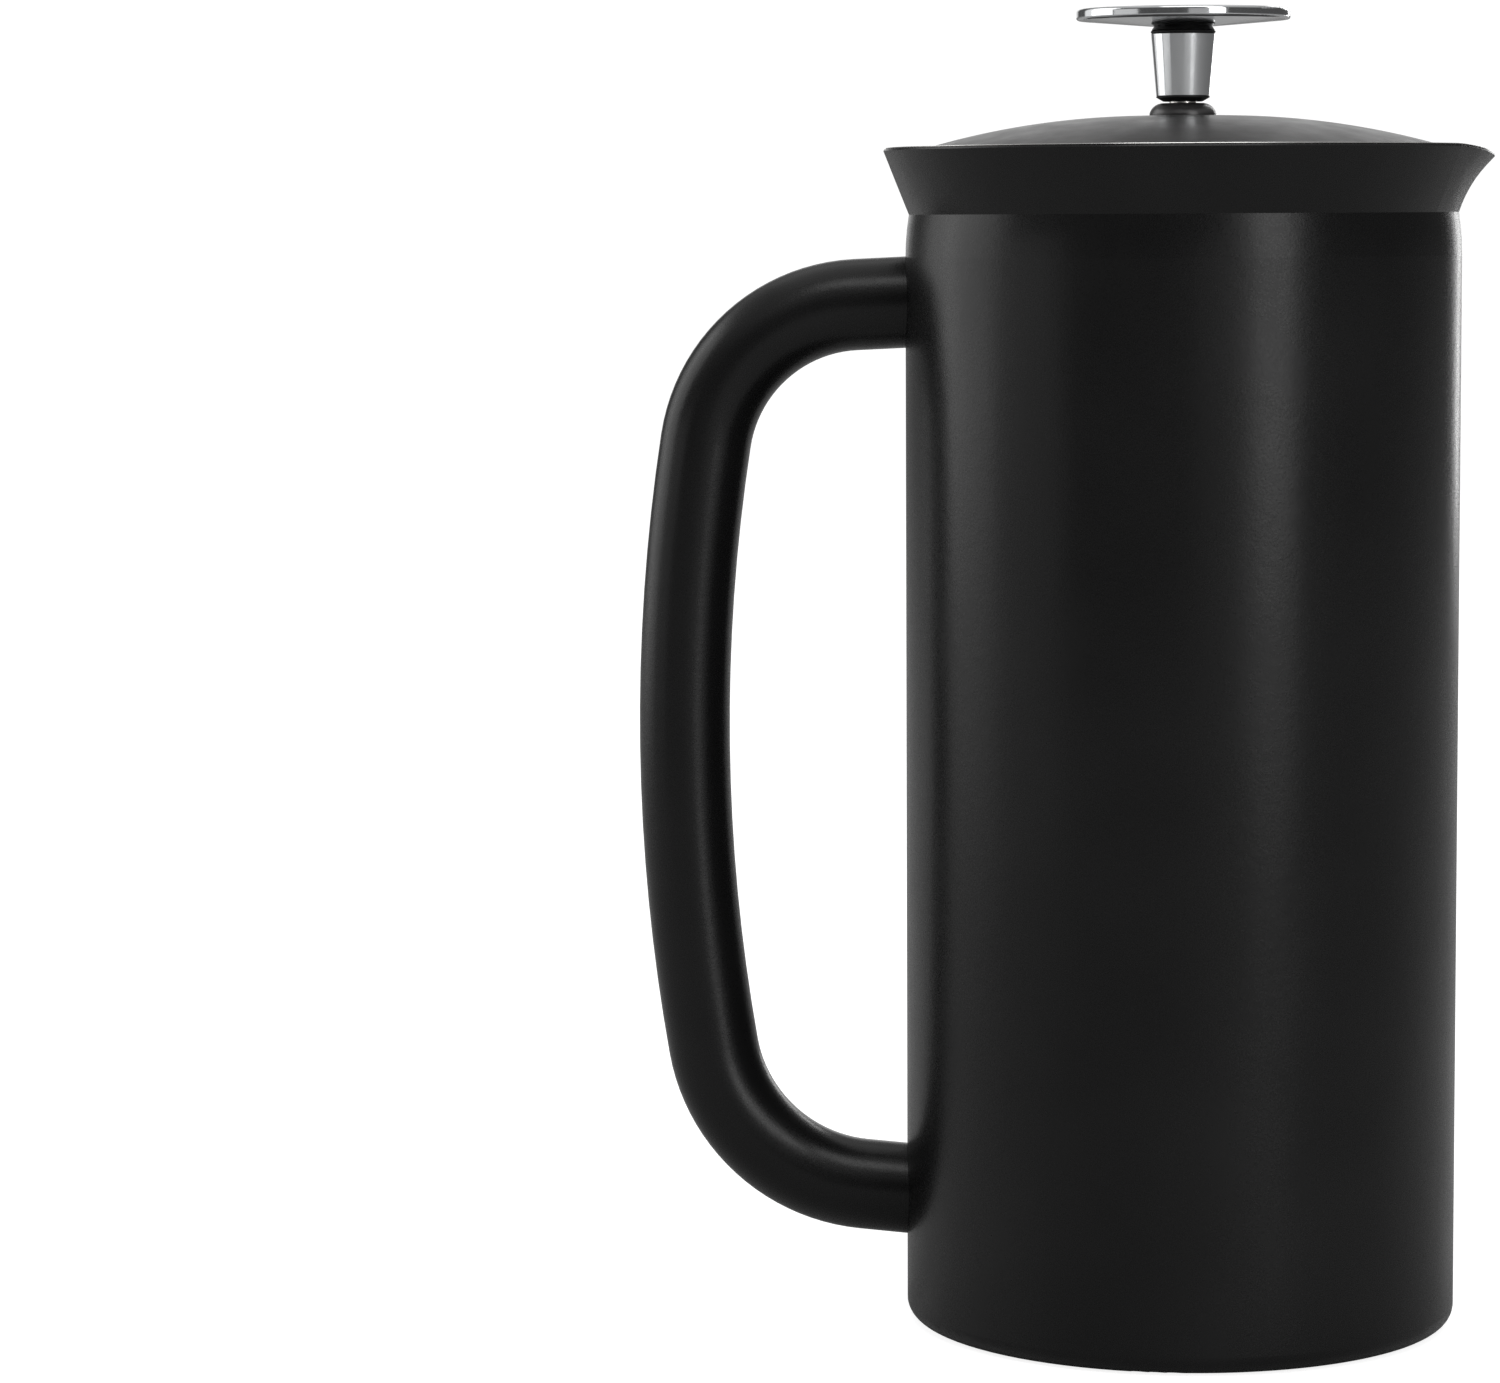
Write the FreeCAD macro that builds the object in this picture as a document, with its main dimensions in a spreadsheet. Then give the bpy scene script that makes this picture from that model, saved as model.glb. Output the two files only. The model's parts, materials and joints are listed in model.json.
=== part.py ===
# French press: double-walled steel carafe with a tube handle, a press-fit lid, a chrome-knobbed plunger and
# two nested filter baskets joined by a bayonet.
# Frame: millimetres, +Z up, origin at the centre of the base's flat underside. The spout points to +X, the handle to -X.
import FreeCAD, Part
import math
import os
from FreeCAD import Vector as V
from FreeCAD import Placement, Rotation

doc = FreeCAD.newDocument("french_press")
sheet = doc.addObject("Spreadsheet::Sheet", "Params")

DIMS = [
    # carafe
    ("body_radius", 52.5, "outer radius of the straight outer shell"),
    ("shell_wall", 0.6, "sheet thickness of the outer shell"),
    ("liner_wall", 0.6, "sheet thickness of the inner liner"),
    ("sheet_gap", 0.04, "gap between the two sheets where they nest in the mouth"),
    ("base_round", 3.5, "rounding of the shell's bottom edge"),
    ("base_lip", 48.4, "inner radius of the shell's rolled bottom edge"),
    ("shoulder_height", 204.0, "height where the shell starts to neck in"),
    ("neck_height", 212.0, "height of the crease under the flared mouth"),
    ("neck_radius", 51.85, "outer radius at the crease"),
    ("rim_height", 224.6, "height of the rim"),
    ("flare_radius", 56.9, "outer radius of the flared rim"),
    ("shoulder_arc", 49.56, "radius of the shoulder's profile"),
    ("bore_radius", 47.5, "radius of the straight bore that the filter wipes"),
    ("bore_floor", 8.0, "height of the bore's floor"),
    ("bore_corner", 4.0, "radius between bore and floor"),
    ("funnel_height", 204.5, "height where the bore starts to widen to the mouth"),
    ("spout_reach", 2.9, "how far the spout is pulled out past the flare at its lip"),
    ("spout_drop", 1.7, "how far the lip dips at the spout's tip"),
    ("spout_angle", 26.0, "half angle of the spout, degrees"),
    ("base_plate_wall", 0.8, "sheet thickness of the base plate"),
    # handle
    ("tube_radius", 8.7, "outer radius of the handle's tube"),
    ("tube_wall", 1.0, "wall of the handle's tube"),
    ("bow_radius", 360.5, "centreline radius of the grip's bow"),
    ("bow_height", 112.8, "height of the bow's middle"),
    ("handle_reach", 95.4, "distance from axis to the grip's centreline"),
    ("upper_bend", 30.6, "centreline radius of the upper bend"),
    ("lower_bend", 32.4, "centreline radius of the lower bend"),
    ("upper_arm_height", 195.4, "height of the upper arm at the shell"),
    ("lower_arm_height", 24.0, "height of the lower arm at the shell"),
    ("upper_arm_angle", 2.6, "rise of the upper arm towards the shell, degrees"),
    ("lower_arm_angle", 4.8, "fall of the lower arm towards the shell, degrees"),
    ("mount_thickness", 0.6, "saddle thickness between shell and tube"),
    ("spigot_radius", 7.65, "radius of the mount's spigot in the tube"),
    # lid
    ("lid_radius", 52.65, "outer radius of the lid's rim"),
    ("lid_rim_low", 219.2, "height of the lid rim's underside"),
    ("lid_rim_top", 222.8, "height where the lid rim's side ends"),
    ("dome_edge_height", 223.5, "height of the dome at its edge"),
    ("dome_mid_height", 228.6, "height of the dome at dome_mid_radius"),
    ("dome_mid_radius", 30.0, "where the dome's two arcs meet"),
    ("dome_top_height", 230.3, "height of the dome at its hole"),
    ("dome_hole", 4.2, "radius of the dome's centre hole"),
    ("dome_wall", 2.0, "thickness of the lid's dome"),
    ("skirt_top_radius", 47.0, "outer radius of the skirt above the seal"),
    ("skirt_low_radius", 44.6, "outer radius of the skirt under the seal"),
    ("skirt_end_radius", 42.5, "outer radius of the skirt's lower edge"),
    ("skirt_end_height", 188.6, "height of the skirt's lower edge"),
    ("skirt_wall", 1.8, "wall of the skirt"),
    ("deck_height", 217.0, "height of the underside of the skirt's deck"),
    ("seal_height", 210.2, "height of the lid seal's lip"),
    ("seal_radius", 49.4, "outer radius of the lid seal"),
    ("slot_pitch", 3.14, "pitch of the pouring slots"),
    ("slot_width", 1.85, "width of a pouring slot"),
    ("slot_top", 216.6, "height of the slots' top ends"),
    ("boss_radius", 6.3, "radius of the rod guide's boss"),
    ("boss_height", 2.4, "height of the rod guide's boss"),
    ("guide_radius", 4.1, "radius of the rod guide's shank"),
    ("guide_bore", 2.6, "bore that guides the rod"),
    ("nut_flat", 12.0, "width across the guide nut's flats"),
    # plunger
    ("rod_radius", 2.55, "radius of the plunger's rod"),
    ("knob_low", 233.02, "height of the knob's lower end"),
    ("stem_low_radius", 5.05, "radius of the knob's stem at its lower end"),
    ("stem_top_radius", 6.1, "radius of the knob's stem at its top"),
    ("stem_top", 245.85, "height of the stem's top"),
    ("disc_radius", 20.2, "radius of the knob's disc"),
    ("disc_low", 248.25, "height of the disc's underside at its rim"),
    ("disc_hub", 247.07, "height of the disc's underside at its hub"),
    ("disc_wall", 2.3, "thickness of the disc"),
    # filters
    ("outer_filter_low", 8.4, "height of the outer filter's underside at rest"),
    ("filter_offset", 3.0, "height of the inner filter's underside above the outer's"),
    ("inner_low_radius", 35.5, "inner filter cage, lower outer radius"),
    ("inner_top_radius", 37.5, "inner filter cage, upper outer radius"),
    ("inner_cage_height", 36.1, "height of the inner filter's cage"),
    ("inner_height", 51.7, "height of the inner filter"),
    ("inner_collar_radius", 39.2, "outer radius of the inner filter's collar"),
    ("inner_mouth_radius", 37.3, "radius of the inner filter's opening"),
    ("ring_radius", 44.5, "outer radius of the inner filter's top ring"),
    ("groove_radius", 42.2, "radius of the seal groove's floor"),
    ("wiper_radius", 47.2, "outer radius of the wiper lips, as flexed in the bore"),
    ("outer_low_radius", 38.0, "outer filter cage, lower outer radius"),
    ("outer_top_radius", 39.7, "outer filter cage, upper outer radius"),
    ("outer_cage_height", 36.0, "height of the outer filter's cage"),
    ("outer_height", 47.2, "height of the outer filter"),
    ("outer_collar_radius", 41.2, "outer radius of the outer filter's collar"),
    ("outer_collar_bore", 39.5, "bore of the outer filter's collar"),
    ("outer_flange_radius", 43.6, "radius of the outer filter's flange"),
    ("rib_width", 4.5, "width of a cage rib"),
    ("cage_wall", 1.2, "thickness of a cage rib"),
    ("mesh_wall", 0.2, "thickness of the woven mesh"),
    ("bayonet_turn", 18.0, "turn that frees the bayonet, degrees"),
]
for row, (alias, value, note) in enumerate(DIMS, start=1):
    sheet.set("A%d" % row, note)
    sheet.set("B%d" % row, repr(value))
    sheet.setAlias("B%d" % row, alias)
doc.recompute()


class Q:
    """A size: its value now, and the spreadsheet expression that gives it."""

    def __init__(self, value, text):
        self.v, self.t = float(value), text

    @staticmethod
    def of(o):
        return o if isinstance(o, Q) else Q(o, repr(float(o)))

    def __add__(self, o):
        o = Q.of(o)
        return Q(self.v + o.v, "(%s + %s)" % (self.t, o.t))

    def __radd__(self, o):
        return Q.of(o) + self

    def __sub__(self, o):
        o = Q.of(o)
        return Q(self.v - o.v, "(%s - %s)" % (self.t, o.t))

    def __rsub__(self, o):
        return Q.of(o) - self

    def __mul__(self, o):
        o = Q.of(o)
        return Q(self.v * o.v, "(%s * %s)" % (self.t, o.t))

    __rmul__ = __mul__

    def __truediv__(self, o):
        o = Q.of(o)
        return Q(self.v / o.v, "(%s / %s)" % (self.t, o.t))


D = {alias: Q(sheet.get(alias), "Params." + alias) for alias, _, _ in DIMS}
N = {k: q.v for k, q in D.items()}
final = {}


def must_cut(what, before, feature):
    """Stops the build when a cut took nothing away."""
    after = feature.Shape.Volume
    if not after < before - 0.01:
        raise RuntimeError("%s: nothing was cut (%.3f to %.3f)" % (what, before, after))


def keep(obj, label):
    obj.Label = label
    final[label] = obj
    return obj


def origin_plane(body, role):
    return [f for f in body.Origin.OriginFeatures if f.Role == role][0]


def new_body(name):
    return doc.addObject("PartDesign::Body", name + "_body")


def new_sketch(body, name, role, offset=None):
    sk = body.newObject("Sketcher::SketchObject", name)
    sk.AttachmentSupport = [(origin_plane(body, role), "")]
    sk.MapMode = "FlatFace"
    if offset is not None:
        sk.AttachmentOffset = Placement(V(0, 0, offset), Rotation())
    return sk


def bind(sk, index, q):
    if isinstance(q, Q):
        sk.setExpression("Constraints[%d]" % index, q.t)


def place_point(sk, geo, pos, x, y):
    """Ties a sketch point to the origin by two sizes."""
    for kind, q, axis in (("DistanceX", x, -2), ("DistanceY", y, -1)):
        v = q.v if isinstance(q, Q) else float(q)
        if abs(v) < 1e-9 and not isinstance(q, Q):
            sk.addConstraint(Sketcher.Constraint("PointOnObject", geo, pos, axis))
        elif v >= 0:
            i = sk.addConstraint(Sketcher.Constraint(kind, -1, 1, geo, pos, v))
            bind(sk, i, q)
        else:
            i = sk.addConstraint(Sketcher.Constraint(kind, geo, pos, -1, 1, -v))
            bind(sk, i, 0 - q if isinstance(q, Q) else q)


def val(q):
    return q.v if isinstance(q, Q) else float(q)


def outline(sk, points):
    """A closed outline. Each point is (x, y) or (x, y, radius, turn): the edge that leaves it is then an arc of that
    radius, turning left (+1) or right (-1)."""
    n = len(points)
    ends = []
    for i, p in enumerate(points):
        q = points[(i + 1) % n]
        a = V(val(p[0]), val(p[1]), 0)
        b = V(val(q[0]), val(q[1]), 0)
        if len(p) == 2:
            geo = sk.addGeometry(Part.LineSegment(a, b), False)
            ends.append((geo, 1, 2))
            continue
        r, turn = val(p[2]), p[3]
        half = (b - a) * 0.5
        lift = math.sqrt(max(r * r - half.Length**2, 0.0))
        left = V(-half.y, half.x, 0).normalize()
        c = a + half + left * (lift * turn)
        a0 = math.atan2(a.y - c.y, a.x - c.x)
        b0 = math.atan2(b.y - c.y, b.x - c.x)
        if turn > 0:
            geo = sk.addGeometry(
                Part.ArcOfCircle(Part.Circle(c, V(0, 0, 1), r), a0, b0), False
            )
            ends.append((geo, 1, 2))
        else:
            geo = sk.addGeometry(
                Part.ArcOfCircle(Part.Circle(c, V(0, 0, 1), r), b0, a0), False
            )
            ends.append((geo, 2, 1))
        j = sk.addConstraint(Sketcher.Constraint("Radius", geo, r))
        bind(sk, j, p[2])
    for i in range(n):
        g0, _, e0 = ends[i - 1]
        g1, s1, _ = ends[i]
        sk.addConstraint(Sketcher.Constraint("Coincident", g0, e0, g1, s1))
        place_point(sk, g1, s1, points[i][0], points[i][1])


def revolve(name, points, body=None):
    """A body turned about Z from an outline in the XZ plane (x is the radius)."""
    body = body or new_body(name)
    sk = new_sketch(body, name + "_profile", "XZ_Plane")
    outline(sk, points)
    rev = body.newObject("PartDesign::Revolution", name + "_turned")
    rev.Profile = sk
    rev.ReferenceAxis = (sk, ["V_Axis"])
    rev.Angle = 360.0
    body.Tip = rev
    doc.recompute()
    return body


def ring_edges(feature, wanted):
    """Names of the circular edges at (radius, height) pairs."""
    names = []
    for r, z in wanted:
        best = None
        for k, e in enumerate(feature.Shape.Edges, start=1):
            if isinstance(e.Curve, Part.Circle):
                d = abs(e.Curve.Radius - val(r)) + abs(e.Curve.Center.z - val(z))
                if best is None or d < best[0]:
                    best = (d, k)
        if best is None or best[0] > 0.05:
            raise RuntimeError("no ring edge near %s, %s on %s" % (val(r), val(z), feature.Name))
        names.append("Edge%d" % best[1])
    return names


def round_rings(body, name, wanted, radius, kind="PartDesign::Fillet"):
    base = body.Tip
    f = body.newObject(kind, name)
    f.Base = (base, ring_edges(base, wanted))
    if kind.endswith("Fillet"):
        f.Radius = val(radius)
        if isinstance(radius, Q):
            f.setExpression("Radius", radius.t)
    else:
        f.Size = val(radius)
    body.Tip = f
    doc.recompute()
    return f


import Sketcher

# ---------------------------------------------------------------- carafe: outer shell and inner liner
br, sw, lw = D["body_radius"], D["shell_wall"], D["liner_wall"]
shell_low = revolve(
    "shell_low",
    [
        (D["base_lip"], 0),
        (br - D["base_round"], 0, D["base_round"], 1),
        (br, D["base_round"]),
        (br, D["shoulder_height"], D["shoulder_arc"], 1),
        (D["neck_radius"], D["neck_height"]),
        (D["neck_radius"] - sw, D["neck_height"], D["shoulder_arc"] - sw, -1),
        (br - sw, D["shoulder_height"]),
        (br - sw, D["base_round"], D["base_round"] - sw, -1),
        (br - D["base_round"], sw),
        (D["base_lip"], sw),
    ],
)
liner_outer_neck = D["neck_radius"] - sw - D["sheet_gap"]
bo, bf, bc = D["bore_radius"], D["bore_floor"], D["bore_corner"]
liner_low = revolve(
    "liner_low",
    [
        (0, bf - lw),
        (bo - bc, bf - lw, bc + lw, 1),
        (bo + lw, bf + bc),
        (bo + lw, D["funnel_height"]),
        (liner_outer_neck, D["neck_height"]),
        (liner_outer_neck - lw, D["neck_height"]),
        (bo, D["funnel_height"]),
        (bo, bf + bc, bc, -1),
        (bo - bc, bf),
        (0, bf),
    ],
)
round_rings(liner_low, "liner_neck_round", [(bo, D["funnel_height"])], 4.0)
round_rings(liner_low, "liner_neck_round_out", [(bo + lw, D["funnel_height"])], 3.4)

FLARE = (N["flare_radius"] - N["neck_radius"]) / (N["rim_height"] - N["neck_height"])
TIP_HEIGHT = N["rim_height"] - N["spout_drop"]


def spout_share(phi):
    """1 at the spout's tip, 0 where the mouth is round; phi in degrees."""
    a = min(abs(phi) / N["spout_angle"], 1.0)
    soft = math.sqrt(a * a + 0.0045) - math.sqrt(0.0045) * (1 - a)
    soft = min(soft / 1.0022, 1.0)
    return (1 - soft) ** 1.55


def mouth_radius(z, phi):
    u = (z - N["neck_height"]) / (TIP_HEIGHT - N["neck_height"])
    cone = N["neck_radius"] + FLARE * (z - N["neck_height"])
    pull = N["spout_reach"] * u**2.2 - 0.9 * u * (1 - u)
    return cone + pull * spout_share(phi)


def lip_height(phi):
    return N["rim_height"] - N["spout_drop"] * spout_share(phi) ** 0.85


LIP_STEP = 0.3


def flare_section(phi, outer, inner, bevel_out, bevel_in, lower):
    """The wall's section at angle phi: offsets inwards from the mouth's outer surface, with a bevelled lip."""
    top = lip_height(phi) - lower
    z0 = N["neck_height"]
    a = math.radians(phi)

    def at(r, z):
        return V(r * math.cos(a), r * math.sin(a), z)

    rows = [z0 + (top - bevel_out - z0) * k / 7.0 for k in range(8)]
    out = [at(mouth_radius(z, phi) - outer, z) for z in rows]
    rows_in = [z0 + (top - bevel_in - z0) * k / 7.0 for k in range(8)]
    inn = [at(mouth_radius(z, phi) - inner, z) for z in rows_in]
    c_out = Part.BSplineCurve()
    c_out.interpolate(out)
    c_in = Part.BSplineCurve()
    c_in.interpolate(inn)
    wall = inner - outer
    t_out = at(mouth_radius(top, phi) - outer - min(bevel_out, 0.45 * wall), top)
    t_in = at(mouth_radius(top, phi) - inner + min(bevel_in, 0.45 * wall), top)
    edges = [
        c_out.toShape(),
        Part.LineSegment(out[-1], t_out).toShape(),
        Part.LineSegment(t_out, t_in).toShape(),
        Part.LineSegment(t_in, inn[-1]).toShape(),
        c_in.toShape(),
        Part.LineSegment(inn[0], out[0]).toShape(),
    ]
    return Part.Wire(Part.__sortEdges__(edges))


def flare(name, outer, inner, bevel_out, bevel_in, lower):
    lim = N["spout_angle"]
    round_part = Part.Face(flare_section(lim, outer, inner, bevel_out, bevel_in, lower)).revolve(
        V(0, 0, 0), V(0, 0, 1), 360.0 - 2 * lim
    )
    steps = [-26, -23, -20, -17, -14, -11, -8, -5.5, -3.5, -1.75, 0, 1.75, 3.5, 5.5, 8, 11, 14, 17, 20, 23, 26]
    wires = [
        flare_section(s * lim / 26.0, outer, inner, bevel_out, bevel_in, lower) for s in steps
    ]
    spout = Part.makeLoft(wires, True, False, False)
    both = round_part.fuse(spout).removeSplitter()
    solid = both.Solids[0]
    f = doc.addObject("Part::Feature", name)
    f.Shape = solid
    return f


shell_flare = flare("shell_flare", 0.0, N["shell_wall"], 0.3, 0.1, LIP_STEP)
liner_flare = flare(
    "liner_flare",
    N["shell_wall"] + N["sheet_gap"],
    N["shell_wall"] + N["sheet_gap"] + N["liner_wall"],
    0.1,
    0.35,
    0.0,
)
for label, low, mouth in (
    ("outer_shell", shell_low, shell_flare),
    ("inner_liner", liner_low, liner_flare),
):
    fuse = doc.addObject("Part::Fuse", label + "_fused")
    fuse.Base, fuse.Tool = low, mouth
    keep(fuse, label)
doc.recompute()

# base plate, closed vessel bottom, vacuum plug and getter
bp = D["base_plate_wall"]
base_plate = revolve(
    "base_plate",
    [
        (0, 0),
        (20.0, 0),
        (21.2, 0.6),
        (42.6, 0.6),
        (43.8, 0),
        (D["base_lip"] - 0.05, 0),
        (D["base_lip"] - 0.05, bp),
        (43.4, bp),
        (42.2, bp + 0.6),
        (21.6, bp + 0.6),
        (20.4, bp),
        (0, bp),
    ],
)
keep(base_plate, "base_plate")
vessel_bottom = revolve(
    "vessel_bottom",
    [
        (1.6, 3.4),
        (11.0, 3.4),
        (13.0, 3.9),
        (br - sw - 0.1, 3.9),
        (br - sw - 0.1, 4.7),
        (12.6, 4.7),
        (10.6, 4.2),
        (1.6, 4.2),
    ],
)
keep(vessel_bottom, "vessel_bottom")
plug = revolve(
    "vacuum_plug",
    [(0, 2.2), (5.0, 2.2), (5.0, 3.35), (1.5, 3.35), (1.5, 4.0), (0, 4.0)],
)
keep(plug, "vacuum_plug")
getter = doc.addObject("Part::Cylinder", "getter_cup")
getter.Radius = 4.0
getter.Height = 1.4
getter.Placement = Placement(V(26.0, 0, 4.75), Rotation())
keep(getter, "getter_cup")

# ---------------------------------------------------------------- handle
hb = new_body("handle")
path = new_sketch(hb, "handle_path", "XZ_Plane")
C = V(N["bow_radius"] - N["handle_reach"], N["bow_height"], 0)


def bend(z_arm, slope, radius, up):
    """Centre, arm tangent point and bow tangent point of a bend; slope in degrees, rising to the shell if up."""
    a = math.radians(slope) * (1 if up else -1)
    d = V(-math.cos(a), -math.sin(a), 0)
    n = V(math.sin(a), -math.cos(a), 0) * (1 if up else -1)
    p0 = V(-N["body_radius"], z_arm, 0)
    base = p0 + n * radius
    w = base - C
    b = 2 * w.dot(d)
    c0 = w.dot(w) - (N["bow_radius"] - radius) ** 2
    root = math.sqrt(b * b - 4 * c0)
    t = min((v for v in ((-b - root) / 2, (-b + root) / 2) if v > 0), default=0)
    c = base + d * t
    on_arm = c - n * radius
    on_bow = c + (c - C).normalize() * radius
    return c, on_arm, on_bow, p0


cu, au, tu, pu = bend(N["upper_arm_height"], N["upper_arm_angle"], N["upper_bend"], True)
cl, al, tl, pl = bend(N["lower_arm_height"], N["lower_arm_angle"], N["lower_bend"], False)


def inside(p, arm):
    """The arm's start, 6 mm inside the shell."""
    d = (p - arm).normalize()
    return p + d * 6.0


def arc(c, a, b, ccw):
    a0 = math.atan2(a.y - c.y, a.x - c.x)
    b0 = math.atan2(b.y - c.y, b.x - c.x)
    r = (a - c).Length
    circle = Part.Circle(c, V(0, 0, 1), r)
    return Part.ArcOfCircle(circle, a0, b0) if ccw else Part.ArcOfCircle(circle, b0, a0)


su, sl = inside(pu, au), inside(pl, al)
g0 = path.addGeometry(Part.LineSegment(su, au), False)
g1 = path.addGeometry(arc(cu, au, tu, True), False)
g2 = path.addGeometry(arc(C, tu, tl, True), False)
g3 = path.addGeometry(arc(cl, tl, al, True), False)
g4 = path.addGeometry(Part.LineSegment(al, sl), False)
for a, b in ((g0, g1), (g1, g2), (g2, g3), (g3, g4)):
    path.addConstraint(Sketcher.Constraint("Tangent", a, 2, b, 1))
for g, key in ((g1, "upper_bend"), (g2, "bow_radius"), (g3, "lower_bend")):
    i = path.addConstraint(Sketcher.Constraint("Radius", g, N[key]))
    bind(path, i, D[key])
place_point(path, g2, 3, D["bow_radius"] - D["handle_reach"], D["bow_height"])
for g, pos, p, zkey, akey, sign in (
    (g0, 1, su, "upper_arm_height", "upper_arm_angle", 1),
    (g4, 2, sl, "lower_arm_height", "lower_arm_angle", -1),
):
    i = path.addConstraint(Sketcher.Constraint("DistanceX", g, pos, -1, 1, -p.x))
    path.setExpression(
        "Constraints[%d]" % i, "Params.body_radius - 6 * cos(Params.%s * 1 deg)" % akey
    )
    i = path.addConstraint(Sketcher.Constraint("DistanceY", -1, 1, g, pos, p.y))
    path.setExpression(
        "Constraints[%d]" % i,
        "Params.%s %s 6 * sin(Params.%s * 1 deg)" % (zkey, "+" if sign > 0 else "-", akey),
    )
doc.recompute()
# the profile stands across the path's lower end
ring = hb.newObject("Sketcher::SketchObject", "handle_ring")
d_low = (sl - al).normalize()
rot = Rotation(V(0, 0, 1), V(d_low.x, 0, d_low.y))
ring.MapMode = "Deactivated"
ring.Placement = Placement(V(sl.x, 0, sl.y), rot)
c0 = ring.addGeometry(Part.Circle(V(0, 0, 0), V(0, 0, 1), N["tube_radius"]), False)
ring.addConstraint(Sketcher.Constraint("Coincident", c0, 3, -1, 1))
i = ring.addConstraint(Sketcher.Constraint("Radius", c0, N["tube_radius"]))
bind(ring, i, D["tube_radius"])
ring_in = hb.newObject("Sketcher::SketchObject", "handle_ring_inside")
ring_in.MapMode = "Deactivated"
ring_in.Placement = Placement(V(sl.x, 0, sl.y), rot)
c1 = ring_in.addGeometry(
    Part.Circle(V(0, 0, 0), V(0, 0, 1), N["tube_radius"] - N["tube_wall"]), False
)
ring_in.addConstraint(Sketcher.Constraint("Coincident", c1, 3, -1, 1))
i = ring_in.addConstraint(
    Sketcher.Constraint("Radius", c1, N["tube_radius"] - N["tube_wall"])
)
bind(ring_in, i, D["tube_radius"] - D["tube_wall"])
pipe = hb.newObject("PartDesign::AdditivePipe", "handle_tube")
pipe.Profile = ring
pipe.Spine = path
hb.Tip = pipe
doc.recompute()
full_volume = pipe.Shape.Volume
hollow = hb.newObject("PartDesign::SubtractivePipe", "handle_hollow")
hollow.Profile = ring_in
hollow.Spine = path
hb.Tip = hollow
doc.recompute()
cope_sk = new_sketch(hb, "handle_cope_circle", "XY_Plane")
c2 = cope_sk.addGeometry(
    Part.Circle(V(0, 0, 0), V(0, 0, 1), N["body_radius"] + N["mount_thickness"]), False
)
cope_sk.addConstraint(Sketcher.Constraint("Coincident", c2, 3, -1, 1))
i = cope_sk.addConstraint(
    Sketcher.Constraint("Radius", c2, N["body_radius"] + N["mount_thickness"])
)
bind(cope_sk, i, D["body_radius"] + D["mount_thickness"])
cope = hb.newObject("PartDesign::Pocket", "handle_cope")
cope.Profile = cope_sk
cope.Type = "Length"
cope.Length = 240.0
cope.Reversed = True
hb.Tip = cope
doc.recompute()
must_cut("hollow", full_volume, hollow)
must_cut("cope", hollow.Shape.Volume, cope)
keep(hb, "handle")


def handle_mount(label, p, arm):
    """A saddle against the shell with a spigot inside the tube's end."""
    out = (arm - p).normalize()
    start = p - out * 6.0
    rot = Rotation(V(0, 0, 1), V(out.x, 0, out.y))
    pl_ = Placement(V(start.x, 0, start.y), rot)
    pad = doc.addObject("Part::Cylinder", label + "_pad")
    pad.Height = 12.0
    pad.setExpression("Radius", "Params.tube_radius")
    pad.Placement = pl_
    rim = doc.addObject("Part::Cylinder", label + "_outer_limit")
    rim.setExpression("Radius", "Params.body_radius + Params.mount_thickness - 0.02")
    rim.Height = 240.0
    saddle = doc.addObject("Part::Common", label + "_saddle")
    saddle.Base, saddle.Tool = pad, rim
    spigot = doc.addObject("Part::Cylinder", label + "_spigot")
    spigot.setExpression("Radius", "Params.spigot_radius")
    spigot.Height = 15.0
    spigot.Placement = pl_
    both = doc.addObject("Part::Fuse", label + "_both")
    both.Base, both.Tool = saddle, spigot
    shell = doc.addObject("Part::Cylinder", label + "_shell_limit")
    shell.setExpression("Radius", "Params.body_radius + 0.01")
    shell.Height = 240.0
    cut = doc.addObject("Part::Cut", label + "_cut")
    cut.Base, cut.Tool = both, shell
    keep(cut, label)


handle_mount("upper_handle_mount", pu, au)
handle_mount("lower_handle_mount", pl, al)
doc.recompute()

# ---------------------------------------------------------------- lid
dh = D["dome_hole"]
lid_cap = revolve(
    "lid_cap",
    [
        (dh, D["dome_top_height"] - D["dome_wall"]),
        (D["dome_mid_radius"], D["dome_mid_height"] - D["dome_wall"], 95.0, -1),
        (50.2, D["dome_edge_height"] - 1.35),
        (50.2, D["lid_rim_low"] + 1.8),
        (D["skirt_top_radius"] + 0.2, D["lid_rim_low"] + 1.8),
        (D["skirt_top_radius"] + 0.2, D["lid_rim_low"]),
        (D["lid_radius"] - 0.5, D["lid_rim_low"], 0.5, 1),
        (D["lid_radius"], D["lid_rim_low"] + 0.5),
        (D["lid_radius"], D["lid_rim_top"], 0.9, 1),
        (D["lid_radius"] - 0.75, D["dome_edge_height"], 148.7, 1),
        (D["dome_mid_radius"], D["dome_mid_height"], 148.7, 1),
        (dh, D["dome_top_height"]),
    ],
)
keep(lid_cap, "lid_cap")

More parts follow.
